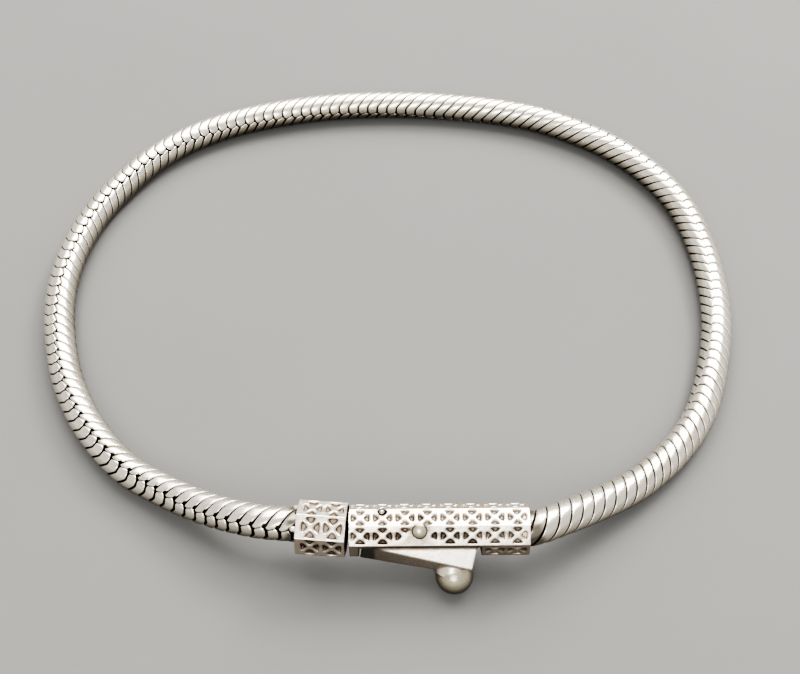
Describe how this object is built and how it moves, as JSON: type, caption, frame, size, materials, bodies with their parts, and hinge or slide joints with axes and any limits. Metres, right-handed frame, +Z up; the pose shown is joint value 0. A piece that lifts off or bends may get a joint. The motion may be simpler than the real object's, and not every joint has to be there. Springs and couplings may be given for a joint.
{
  "type": "snake chain bracelet",
  "caption": "Silver snake chain bracelet closed by an eight-sided lattice barrel clasp with an end cap and a sprung, riveted lever that ends in a ball.",
  "frame": {"origin": "under the middle of the bracelet's box, on the surface that it lies on", "axes": "+Z up from the surface, +X along the clasp's barrel from the end cap towards its right end, +Y away from the clasp across the loop"},
  "size_m": [0.0689, 0.06, 0.0066],
  "materials": {
    "chain_silver": "polished silver bands, black in the gaps",
    "cast_silver": "cast silver, bright on the raised bars and darkened in the pits",
    "pin_silver": "pale satin silver",
    "lever_silver": "polished silver with fine scratches"
  },
  "bodies": {
    "bracelet": {"chain_left": "chain_silver", "chain_right": "chain_silver", "end_cap": "cast_silver", "barrel": "cast_silver", "guide_pin": "pin_silver", "rivet": "pin_silver"},
    "lever": {"lever": "lever_silver"}
  },
  "joints": [
    {"name": "lever_hinge", "type": "hinge", "parent": "bracelet", "child": "lever", "pos_m": [0.0027, -0.02497, 0.0045], "axis": [0, -0.6428, 0.766], "range_deg": [0, 12], "stiffness_Nm_per_rad": 0.006, "springref_deg": -28.65}
  ]
}
